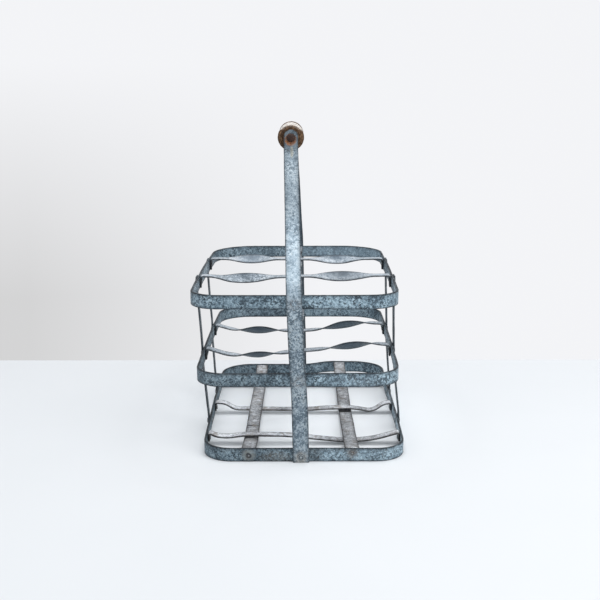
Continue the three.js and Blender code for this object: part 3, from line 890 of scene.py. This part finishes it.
class Shading(NodeTree):
    """A material, whose texture coordinates are metres in the frame."""

    def __init__(self, name):
        self.material = bpy.data.materials.new(name)
        self.material.use_nodes = True
        super().__init__(self.material.node_tree, "Object")
        self.shader = self.tree.nodes["Principled BSDF"]

    def stretched(self, scale):
        return self.add("Mapping", Vector=self.coords, Scale=scale).outputs["Vector"]

    def noise(self, scale, detail=3.0, roughness=0.55, distortion=0.0, coords=None):
        settings = {"Scale": scale, "Detail": detail, "Roughness": roughness, "Distortion": distortion}
        return self.add("TexNoise", Vector=coords or self.coords, **settings).outputs["Fac"]

    def swing(self, *settings):
        """Noise from about -0.5 to 0.5."""
        return self.math("SUBTRACT", self.noise(*settings), 0.5)

    def cells(self, scale, warp):
        """One random value for each crystal of the zinc; warp bends the crystals' outlines."""
        bent = self.add("TexNoise", Vector=self.coords, Scale=scale * 0.9, Detail=2)
        coords = self.mix(warp, self.coords, bent.outputs["Color"], "LINEAR_LIGHT")
        crystals = self.add("TexVoronoi", Vector=coords, Scale=scale)
        return self.add("SeparateColor", Color=crystals.outputs["Color"]).outputs["Red"]

    def mark(self, name):
        node = self.add("Attribute")
        node.attribute_name = name
        return node.outputs["Fac"]

    def marked(self, name, strength, colour, stain):
        """Lays a stain over the colour where the mesh carries a mark."""
        return self.mix(self.times(self.mark(name), strength), colour, stain)

    def share_along(self, axis, low, high):
        return self.math("DIVIDE", self.math("SUBTRACT", self.place(axis), low), high - low)

    def spot(self, centre, radii, soft=0.5):
        """1 near a centre in metres and 0 beyond an ellipsoid of these radii round it."""
        scale = [1 / r for r in radii]
        offset = [-c / r for c, r in zip(centre, radii)]
        mapped = self.add("Mapping", Vector=self.coords, Scale=scale, Location=offset)
        length = self.add("VectorMath")
        length.operation = "LENGTH"
        self.link(mapped.outputs["Vector"], length.inputs[0])
        return self.ramp(length.outputs["Value"], [(1 - soft, 1.0), (1.0, 0.0)])

    def ramp(self, value, stops):
        """Colours or grey values at places from 0 to 1."""
        node = self.add("ValToRGB", Fac=value)
        elements = node.color_ramp.elements
        while len(elements) < len(stops):
            elements.new(0.5)
        for element, (place, colour) in zip(elements, stops):
            element.position = place
            element.color = (colour,) * 3 + (1,) if isinstance(colour, (int, float)) else (*colour, 1)
        return node.outputs["Color"]

    def bump(self, height, strength, distance):
        node = self.add("Bump", Height=height, Strength=strength, Distance=distance)
        self.link(node.outputs["Normal"], self.shader.inputs["Normal"])

    def set_shader(self, **inputs):
        """Sets inputs of the shader by name, with _ for a space."""
        for name, source in inputs.items():
            self.link(source, self.shader.inputs[name.replace("_", " ")])

    def finish(self, colour, roughness, metallic):
        self.set_shader(Base_Color=colour, Roughness=roughness, Metallic=metallic)
        return self.material


TAB_SHADE_BLACK = (0.011, 0.013, 0.016)
EDGE_SHADE = (0.014, 0.02, 0.026)
WHITE_BLOOM = (0.66, 0.72, 0.76)
BLACK_SPECK = (0.02, 0.03, 0.038)
BROWN_STAIN = (0.14, 0.11, 0.085)
INNER_SHADE_ZINC = (0.06, 0.085, 0.105)
ZINC_METALLIC = 0.45
CARRIER_SIDE = 0.11  # metres from the middle to the left or right side


class StainAndShade(NamedTuple):
    """A local patch of colour in metres; some are real stains and some painted shade and light. soft is the
    share of its radii over which it fades.
    """

    centre: tuple
    radii: tuple
    strength: float
    colour: tuple
    soft: float = 0.5


def zinc_grain(s):
    """The scales of variation in the zinc's surface, each about 0, and where its crystals show."""
    return {
        "patches": s.ramp(s.noise(55, 3, 0.6, 0.5), [(0.40, 0.25), (0.62, 1.0)]),
        "crystals": s.math("SUBTRACT", s.cells(640, warp=0.0008), 0.5),
        "fine": s.swing(860, 2, 0.6),
        "grain": s.swing(360, 4, 0.7, 0.3),
        "coarse": s.swing(28, 3, 0.55),
        "blotches": s.swing(118, 3, 0.6, 0.4),
    }


def zinc_tone(s, grains, contrast):
    tone = s.times(s.times(grains["crystals"], 0.6), grains["patches"])
    for part, share in (("fine", 0.8), ("grain", 0.85), ("blotches", 0.6), ("coarse", 0.75)):
        tone = s.math("ADD", tone, s.times(grains[part], share))
    return s.times(tone, contrast)


def shaded_by_place(s, colour, coarse, by_height, by_side):
    """Darkens the colour by height and from side to side, with wandering borders: painted light and shade."""
    if by_height:
        low, high = by_height[0][0], by_height[-1][0]
        place = s.math("ADD", s.share_along("Z", low, high), s.times(coarse, 0.12))
        kept = s.ramp(place, [((z - low) / (high - low), share) for z, share in by_height])
        colour = s.mix(1.0, colour, kept, "MULTIPLY")
    if by_side:
        across = s.share_along("X", -CARRIER_SIDE, CARRIER_SIDE)
        place = s.math("ADD", across, s.times(coarse, 0.5))
        colour = s.mix(1.0, colour, s.ramp(place, by_side), "MULTIPLY")
    return colour


def dirtied_and_shaded(s, colour, patches, bloom, specks, inside, opened):
    """Adds white bloom and black specks, paints shade on the inner face and the lenses, then darkens round
    the rivets with dirt.
    """
    white = s.ramp(s.noise(420, 3, 0.7), [(0.60, 0.0), (0.68, bloom)])
    colour = s.mix(s.times(white, patches), colour, WHITE_BLOOM)
    black = s.ramp(s.noise(430, 3, 0.65, 0.4), [(0.56, 0.0), (0.61, specks)])
    colour = s.mix(s.times(black, patches), colour, BLACK_SPECK)
    # painted shade on inner faces and undersides
    colour = s.marked("inside", inside[0], colour, inside[1])
    # painted shade on the twisted lenses, made uneven by noise
    if opened[0]:
        lens_shade_noise = s.ramp(s.noise(90, 3, 0.6), [(0.35, 0.62), (0.6, 1.0)])
        colour = s.mix(s.times(s.times(s.mark("opened"), opened[0]), lens_shade_noise), colour, opened[1])
    grime = s.ramp(s.noise(260, 4, 0.65), [(0.36, 0.1), (0.62, 0.9)])
    return s.mix(s.times(s.times(s.mark("stain"), grime), 0.55), colour, BROWN_STAIN)


def old_zinc(
    name,
    dark,
    middle,
    pale,
    bloom=0.35,
    specks=0.6,
    inside=(0.5, INNER_SHADE_ZINC),
    opened=(0.0, INNER_SHADE_ZINC),
    rim=0.75,
    by_height=None,
    by_side=None,
    contrast=1.0,
    calm=None,
    stains_and_shade=(),
):
    """Weathered galvanising: crystals, white bloom, dark specks and rivet stains, with painted shade on rims
    and tabs.

    A pair such as inside gives how strongly a marked area takes on a colour; inside and opened paint shade on
    inner faces and twisted lenses. by_height lists how much of the colour is left at heights in metres, and
    by_side does so from the left side (0) to the right side (1); both paint light and shade. calm lists how
    much of the speckle is left at heights in metres. Local patches are listed too: stains, and painted shade
    and light.
    """
    s = Shading(name)
    grains = zinc_grain(s)
    patches, grain = grains["patches"], grains["grain"]
    tone = zinc_tone(s, grains, contrast)
    if calm:
        top = LEG_TOP * MM
        still = s.ramp(s.share_along("Z", 0, top), [(z / top, share) for z, share in calm])
        tone, patches = s.times(tone, still), s.times(patches, still)
    tone = s.math("ADD", tone, 0.5)
    colour = s.ramp(tone, [(0.2, dark), (0.5, middle), (0.82, pale)])
    colour = shaded_by_place(s, colour, grains["coarse"], by_height, by_side)
    colour = dirtied_and_shaded(s, colour, patches, bloom, specks, inside, opened)
    stained = s.times(s.mark("tab"), 0.5)
    for stain in stains_and_shade:
        uneven = s.ramp(grain, [(0.0, stain.strength * 0.45), (0.12, stain.strength)])
        cover = s.times(s.spot(stain.centre, stain.radii, stain.soft), uneven)
        colour = s.mix(cover, colour, stain.colour)
        stained = s.math("MAXIMUM", stained, cover)
    # painted shade on the strips' edges, made uneven by noise
    edge = s.ramp(s.noise(110, 3, 0.6), [(0.40, rim), (0.62, rim * 0.75)])
    colour = s.marked("rim", edge, colour, EDGE_SHADE)
    # painted shade on the tabs inside the hoops
    colour = s.marked("tab", 0.85, colour, TAB_SHADE_BLACK)
    roughness = s.mix(stained, s.ramp(tone, [(0.2, 0.6), (0.8, 0.4)]), (0.9, 0.9, 0.9))
    s.bump(s.math("ADD", s.times(grains["fine"], 0.5), grain), 0.5, 0.0004)
    return s.finish(colour, roughness, s.times(s.math("SUBTRACT", 1.0, stained), ZINC_METALLIC))


def hoop_zinc():
    """The hoops: strongly speckled, with painted shade darkest at the lower left, away from the light, and
    dirt round the lowest rivets.
    """
    return old_zinc(
        "hoop_zinc",
        (0.055, 0.085, 0.11),
        (0.20, 0.295, 0.365),
        (0.46, 0.61, 0.70),
        specks=0.9,
        contrast=1.4,
        inside=(0.3, INNER_SHADE_ZINC),
        rim=1.0,
        # painted shade: the hoops darken towards the left, away from the light
        by_side=[(0.05, 0.78), (0.38, 0.82), (0.62, 0.97), (0.95, 0.9)],
        stains_and_shade=[
            # pale and brown rings round the floor strips' front rivets
            StainAndShade((-0.0508, -0.1535, 0.0066), (0.0085, 0.006, 0.0085), 0.9, (0.48, 0.52, 0.51)),
            StainAndShade((0.0524, -0.1535, 0.009), (0.007, 0.006, 0.007), 0.7, (0.17, 0.135, 0.11)),
            # painted shade at the lower left, away from the light, and painted light at the top's rear right
            # and the front right
            StainAndShade((-0.08, -0.12, 0.03), (0.12, 0.3, 0.125), 0.62, (0.014, 0.022, 0.026)),
            StainAndShade((0.08, 0.153, 0.165), (0.1, 0.06, 0.03), 0.6, (0.32, 0.43, 0.52)),
            StainAndShade((0.06, -0.155, 0.03), (0.07, 0.03, 0.09), 0.3, (0.34, 0.41, 0.45)),
            # painted shadow in the gap right of the handle strap's foot, then brown dirt left of it
            StainAndShade((0.015, -0.1535, 0.009), (0.010, 0.006, 0.012), 0.95, (0.025, 0.025, 0.025)),
            StainAndShade((-0.023, -0.1535, 0.004), (0.02, 0.006, 0.009), 0.6, (0.16, 0.14, 0.115)),
        ],
    )


def strip_zinc():
    """The dividers and uprights: paler, with painted shade on their undersides and on the lenses where they
    are twisted open.
    """
    lens = (0.03, 0.03, 0.03)
    return old_zinc(
        "strip_zinc",
        (0.24, 0.285, 0.32),
        (0.52, 0.59, 0.66),
        (0.78, 0.83, 0.87),
        specks=0.5,
        inside=(0.88, (0.06, 0.085, 0.1)),
        opened=(1.0, (0.07, 0.10, 0.13)),
        rim=0.9,
        stains_and_shade=[
            # painted shade on three lenses of the top dividers
            StainAndShade((0.053, -0.047, 0.168), (0.034, 0.03, 0.03), 0.85, (0.14, 0.17, 0.2)),
            StainAndShade((-0.053, 0.059, 0.168), lens, 0.55, (0.17, 0.24, 0.31)),
            StainAndShade((0.053, 0.059, 0.168), lens, 0.4, (0.17, 0.24, 0.31)),
        ],
    )


def leg_zinc():
    """The handle strap: a painted highlight on the shoulder above the bend, darker and speckled towards the
    foot.
    """
    return old_zinc(
        "leg_zinc",
        (0.18, 0.25, 0.31),
        (0.41, 0.52, 0.61),
        (0.62, 0.73, 0.80),
        bloom=0.3,
        specks=0.95,
        contrast=2.5,
        calm=[(0.0, 1.0), (0.15, 0.95), (0.172, 0.4), (0.25, 0.44), (0.32, 0.4)],
        inside=(0.8, (0.05, 0.07, 0.085)),
        rim=0.8,
        # painted light and shade by height: brightest just above the bend, where the strap tilts up to the
        # light
        by_height=[
            (0.0, 0.62), (0.07, 0.62), (0.14, 0.68), (0.172, 0.87),
            (0.215, 0.84), (0.25, 0.51), (0.285, 0.53), (0.322, 0.40),
        ],
        stains_and_shade=[
            # a pale run below the rod's head, then orange and dark rust round it, and a nick
            StainAndShade((-0.0076, -0.0545, 0.299), (0.0022, 0.01, 0.009), 0.7, (0.55, 0.52, 0.40)),
            StainAndShade((-0.0091, -0.0535, 0.3122), (0.0069, 0.02, 0.0069), 1.0, (0.50, 0.16, 0.0), 0.3),
            StainAndShade((-0.0085, -0.0535, 0.3131), (0.0058, 0.02, 0.0060), 1.0, (0.10, 0.022, 0.0), 0.25),
            StainAndShade((-0.0116, -0.0545, 0.3015), (0.0016, 0.01, 0.0016), 0.9, (0.05, 0.05, 0.05)),
            # dirt at the foot and a pale ring round its rivet
            StainAndShade((0.0012, -0.1565, -0.001), (0.010, 0.004, 0.007), 0.65, (0.2, 0.165, 0.13)),
            StainAndShade((0.0012, -0.1565, 0.006), (0.0072, 0.004, 0.0072), 0.6, (0.46, 0.45, 0.41)),
        ],
    )


FLOOR_NICKS = [(-0.0525, 0.036, 0.008), (-0.0535, -0.07, 0.008)]
FLOOR_GAP_SHADOW = (0.0524, -0.0115, 0.004)  # painted shadow in the gap under the front edge of the middle cross strip, on the right long strip


def floor_zinc(name, gain):
    """The thin floor strips: duller zinc gone brown, with dirt drawn out along the metal."""
    s = Shading(name)
    grain = s.swing(210, 4, 0.68, 0.4)
    coarse = s.swing(34, 3, 0.6)
    fine = s.swing(720, 2, 0.6)
    tone = s.math("ADD", s.times(grain, 0.9), s.times(coarse, 0.8))
    tone = s.math("ADD", s.math("ADD", s.times(tone, 1.4), s.times(fine, 0.9)), 0.5)
    dark, middle, pale = (0.15, 0.155, 0.165), (0.38, 0.40, 0.425), (0.64, 0.67, 0.70)
    colour = s.ramp(tone, [(0.2, dark), (0.5, middle), (0.8, pale)])
    dirt = s.ramp(s.noise(75, 5, 0.7, 1.0), [(0.5, 0.0), (0.64, 0.75)])
    colour = s.mix(dirt, colour, (0.17, 0.145, 0.12))
    for nick in FLOOR_NICKS:
        cover = s.times(s.spot(nick, (0.0042, 0.0024, 0.01)), 0.9)
        colour = s.mix(cover, colour, (0.03, 0.03, 0.032))
    # painted shadow in that gap
    shade = s.times(s.spot(FLOOR_GAP_SHADOW, (0.02, 0.0042, 0.0046), 0.3), 0.95)
    colour = s.mix(shade, colour, (0.012, 0.012, 0.013))
    # painted shade on the strips' undersides
    colour = s.marked("inside", 0.6, colour, (0.06, 0.065, 0.07))
    brightness = s.ramp(s.share_along("X", -0.1, 0.1), [(0.3, gain), (0.7, gain * 0.82)])
    colour = s.mix(1.0, colour, brightness, "MULTIPLY")
    # painted shade on the edges
    edge = s.ramp(s.noise(140, 3, 0.6), [(0.4, 1.0), (0.62, 0.8)])
    colour = s.marked("rim", edge, colour, (0.025, 0.025, 0.027))
    # painted shade on the tabs inside the bottom hoop
    colour = s.marked("tab", 0.8, colour, TAB_SHADE_BLACK)
    roughness = s.ramp(tone, [(0.2, 0.6), (0.8, 0.4)])
    s.bump(grain, 0.5, 0.0004)
    return s.finish(colour, roughness, ZINC_METALLIC)


def rivet_zinc():
    """Rivets: painted shade, nearly black, in the hammered groove and under the rim; bare and pale on the
    crown.
    """
    s = Shading("rivet_zinc")
    grain = s.noise(650, 4, 0.7)
    dark, middle, bare = (0.10, 0.12, 0.13), (0.24, 0.28, 0.30), (0.42, 0.46, 0.48)
    colour = s.ramp(grain, [(0.3, dark), (0.52, middle), (0.72, bare)])
    colour = s.mix(s.mark("stain"), colour, (0.03, 0.035, 0.04))
    # painted shade in the groove and under the head's rim
    colour = s.marked("rim", 0.97, colour, (0.01, 0.011, 0.012))
    colour = s.marked("opened", 0.6, colour, bare)
    rusty = s.ramp(s.noise(180, 3, 0.6), [(0.52, 0.0), (0.66, 0.6)])
    colour = s.mix(rusty, colour, (0.12, 0.085, 0.065))
    s.bump(grain, 0.5, 0.0003)
    return s.finish(colour, 0.6, 0.2)


def rust():
    """Dark oxide on the rod's hammered heads, orange where water sits."""
    s = Shading("old_rust")
    patches = s.noise(520, 5, 0.7)
    black, brown, orange = (0.012, 0.009, 0.009), (0.045, 0.022, 0.016), (0.16, 0.06, 0.03)
    colour = s.ramp(patches, [(0.36, black), (0.54, brown), (0.72, orange)])
    roughness = s.ramp(patches, [(0.3, 0.45), (0.7, 0.8)])
    s.bump(s.noise(900, 4, 0.7), 0.7, 0.0005)
    s.set_shader(Specular_IOR_Level=0.25)
    return s.finish(colour, roughness, 0.0)


def old_wood():
    """Turned wood: bleached on the barrel, dark and ridged at the ends, with fine splits along the grain."""
    s = Shading("turned_wood_old")
    along = s.stretched((1, 0.06, 1))
    grain = s.noise(900, 4, 0.6, 0.3, along)
    streaks = s.noise(260, 4, 0.65, 0.6, along)
    pale = s.ramp(
        s.math("ADD", s.times(grain, 0.6), s.times(streaks, 0.4)),
        [(0.32, (0.26, 0.21, 0.17)), (0.46, (0.56, 0.53, 0.49)), (0.62, (0.76, 0.74, 0.71))],
    )
    ends = s.ramp(
        s.noise(420, 5, 0.7),
        [(0.32, (0.035, 0.018, 0.009)), (0.5, (0.13, 0.072, 0.038)), (0.68, (0.38, 0.24, 0.14))],
    )
    ends = s.marked("rings", 0.7, ends, (0.026, 0.014, 0.008))
    colour = s.mix(s.mark("rim"), pale, ends)
    splits = s.ramp(s.noise(420, 3, 0.5, 0.0, along), [(0.30, 0.85), (0.36, 0.0)])
    colour = s.mix(splits, colour, (0.05, 0.035, 0.028))
    colour = s.marked("stain", 0.6, colour, (0.09, 0.035, 0.018))
    roughness = s.ramp(grain, [(0.3, 0.85), (0.7, 0.65)])
    s.bump(grain, 0.6, 0.0005)
    s.set_shader(Specular_IOR_Level=0.2)
    return s.finish(colour, roughness, 0.0)


def studio_floor():
    """A pale sweep with painted light where the carrier stands: paler there and glowing a little, so that the
    shadow of its hoops stays faint.
    """
    s = Shading("studio_floor")
    outside = s.ramp(s.noise(3, 3, 0.5), [(0.3, (0.70, 0.725, 0.745)), (0.7, (0.72, 0.745, 0.765))])
    # painted light: a paler, faintly glowing patch under the carrier
    footprint = s.math("POWER", s.spot((0, 0, 0), (0.20, 0.26, 1.0), 0.7), 1.5)
    colour = s.mix(footprint, outside, (0.91, 0.95, 0.98))
    s.bump(s.noise(160, 3, 0.6), 0.12, 0.0006)
    glow = s.math("ADD", s.times(footprint, 0.07), 0.015)
    s.set_shader(Emission_Color=(0.86, 0.90, 0.94, 1), Emission_Strength=glow, Specular_IOR_Level=0.1)
    return s.finish(colour, 0.8, 0.0)


# ---- stage, light and camera, in metres ----
FLOOR_HALF_WIDTH = 3.0
FLOOR_FRONT_EDGE, FLOOR_REAR_EDGE = -4.0, 0.221
SURROUND_LIGHT = 0.8  # how much the surround lights the carrier, as a share of how bright it looks
WALL_BRIGHT = (0.9, 0.907, 0.93)
WALL_DIM = (0.66, 0.66, 0.665)
# Each softbox has its place, its aim, its size and its power in watts.
SOFTBOXES = {
    "overhead_softbox": ((0.12, -0.04, 1.5), (0, 0, 0), (1.0, 1.0), 11),
    "right_softbox": ((1.2, -1.0, 0.75), (0, 0, 0.1), (0.8, 0.8), 7),
    "front_softbox": ((0.2, -1.9, 0.9), (0, 0, 0.1), (1.6, 0.9), 2),
}
CAMERA_PLACE = (-0.0044, -1.0614, 0.3604)
CAMERA_PITCH = math.radians(12.145)
CAMERA_YAW = math.radians(0.296)
CAMERA_LENS = 57.98


def build_stage():
    mesh = bpy.data.meshes.new("studio_floor")
    left, right = -FLOOR_HALF_WIDTH, FLOOR_HALF_WIDTH
    front, rear = FLOOR_FRONT_EDGE, FLOOR_REAR_EDGE
    corners = [(left, front, 0), (right, front, 0), (right, rear, 0), (left, rear, 0)]
    mesh.from_pydata(corners, [], [(0, 1, 2, 3)])
    mesh.materials.append(studio_floor())
    floor = add_object("studio_floor", mesh)


def build_world():
    """A pale surround that is a little darker low on the left, as a wall lit from the right is."""
    world = bpy.data.worlds.new("pale_surround")
    bpy.context.scene.world = world
    world.use_nodes = True
    w = NodeTree(world.node_tree, "Generated")
    leftness = w.math("ADD", w.times(w.place("X"), -3.4), 0.1, clamp=True)
    lowness = w.math("ADD", w.times(w.place("Z"), -4.4), 0.12, clamp=True)
    colour = w.mix(w.times(leftness, lowness), WALL_BRIGHT, WALL_DIM)
    seen = w.add("LightPath").outputs["Is Camera Ray"]
    strength = w.math("ADD", w.times(seen, 1 - SURROUND_LIGHT), SURROUND_LIGHT)
    back = w.tree.nodes["Background"]
    w.link(colour, back.inputs["Color"])
    w.link(strength, back.inputs["Strength"])


def build_lights():
    for name, (at, aim, size, power) in SOFTBOXES.items():
        data = bpy.data.lights.new(name, "AREA")
        data.shape = "RECTANGLE"
        data.size, data.size_y = size
        data.energy = power
        light = add_object(name, data)
        light.location = at
        light.rotation_euler = (Vector(aim) - Vector(at)).to_track_quat("-Z", "Y").to_euler()


def build_camera():
    data = bpy.data.cameras.new("front_view")
    data.lens = CAMERA_LENS
    data.sensor_width = 36
    data.clip_start, data.clip_end = 0.05, 20
    camera = add_object("front_view", data)
    camera.location = CAMERA_PLACE
    camera.rotation_euler = (math.pi / 2 - CAMERA_PITCH, 0, -CAMERA_YAW)
    bpy.context.scene.camera = camera


# ---- assembly ----
def build_carrier():
    thin_zinc, strap_zinc = strip_zinc(), leg_zinc()
    build_hoops(hoop_zinc())
    build_floor(floor_zinc("long_strip_zinc", 1.2), floor_zinc("cross_strip_zinc", 1.75))
    build_dividers("middle", thin_zinc)
    build_dividers("top", thin_zinc)
    build_uprights(thin_zinc)
    build_legs(strap_zinc)
    build_rivets(rivet_zinc(), strap_zinc)
    build_rod(rust())
    build_grip(old_wood())


build_camera()
build_stage()
build_world()
build_lights()
build_carrier()
bpy.context.scene.view_settings.view_transform = "Standard"
